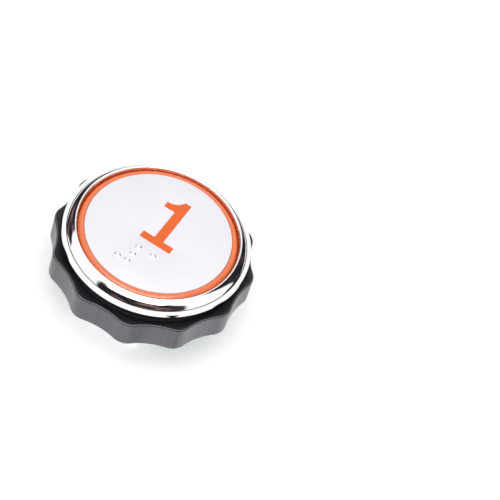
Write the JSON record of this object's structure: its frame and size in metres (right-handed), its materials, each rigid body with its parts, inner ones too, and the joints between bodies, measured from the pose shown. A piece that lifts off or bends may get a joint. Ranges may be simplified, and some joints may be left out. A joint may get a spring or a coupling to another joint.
{
  "type": "illuminated lift push button",
  "caption": "Round lift push button: sprung metal face with a floor numeral and Braille in an amber light ring, bright bezel, lobed ring nut and circuit board with wire headers.",
  "frame": {"origin": "on the button's axis, in the plane of the bezel's underside where it sits on the panel", "axes": "+Z along the axis towards the person who presses it, +Y up on the numeral, +X to its right"},
  "size_m": [0.042, 0.042, 0.0189],
  "materials": {
    "bezel_chrome": "mirror-bright plated plastic",
    "face_metal": "fine matt satin, nearly white",
    "amber_lens": "translucent amber, lit from behind",
    "nut_plastic": "moulded black plastic with a soft sheen",
    "barrel_plastic": "moulded black plastic",
    "board_green": "green solder mask",
    "header_white": "natural white nylon",
    "pin_metal": "tinned square wire",
    "solder": "bright solder",
    "screw_metal": "nickel-plated steel",
    "switch_black": "black moulding",
    "cover_steel": "pressed steel sheet",
    "plunger_plastic": "brown moulding",
    "spring_steel": "bright spring wire",
    "carrier_white": "white moulding",
    "lamp_white": "white lamp housing",
    "resistor_ceramic": "chip resistor"
  },
  "bodies": {
    "housing": {"bezel_ring": "bezel_chrome", "threaded_barrel": "barrel_plastic", "return_spring": "spring_steel", "circuit_board": "board_green", "board_screws": "screw_metal", "header_shroud_upper": "header_white", "header_shroud_lower": "header_white", "header_pins_upper": "pin_metal", "header_pins_lower": "pin_metal", "header_solder_upper": "solder", "header_solder_lower": "solder", "switch_body": "switch_black", "switch_cover": "cover_steel", "switch_legs": "pin_metal", "switch_solder": "solder", "lamp_feed_solder": "solder", "lamp_1": "lamp_white", "lamp_2": "lamp_white", "lamp_3": "lamp_white", "lamp_4": "lamp_white", "resistor_left": "resistor_ceramic", "resistor_right": "resistor_ceramic"},
    "face": {"face_plate": "face_metal", "light_lens": "amber_lens", "cap_carrier": "carrier_white"},
    "plunger": {"switch_plunger": "plunger_plastic"},
    "nut": {"ring_nut": "nut_plastic"}
  },
  "joints": [
    {"name": "face_press", "type": "slide", "parent": "housing", "child": "face", "axis": [0, 0, -1], "range_m": [0, 0.0005], "stiffness_N_per_m": 1500, "springref_m": -0.0008, "deforming": ["return_spring"]},
    {"name": "switch_press", "type": "slide", "parent": "housing", "child": "plunger", "axis": [0, 0, -1], "range_m": [0, 0.0005]},
    {"name": "nut_turn", "type": "hinge", "parent": "housing", "child": "nut", "pos_m": [0, 0, -0.0054], "axis": [0, 0, 1], "range_deg": [-750, 576]}
  ],
  "couplings": [
    {"joint": "switch_press", "follows": "face_press", "ratio": 1}
  ]
}
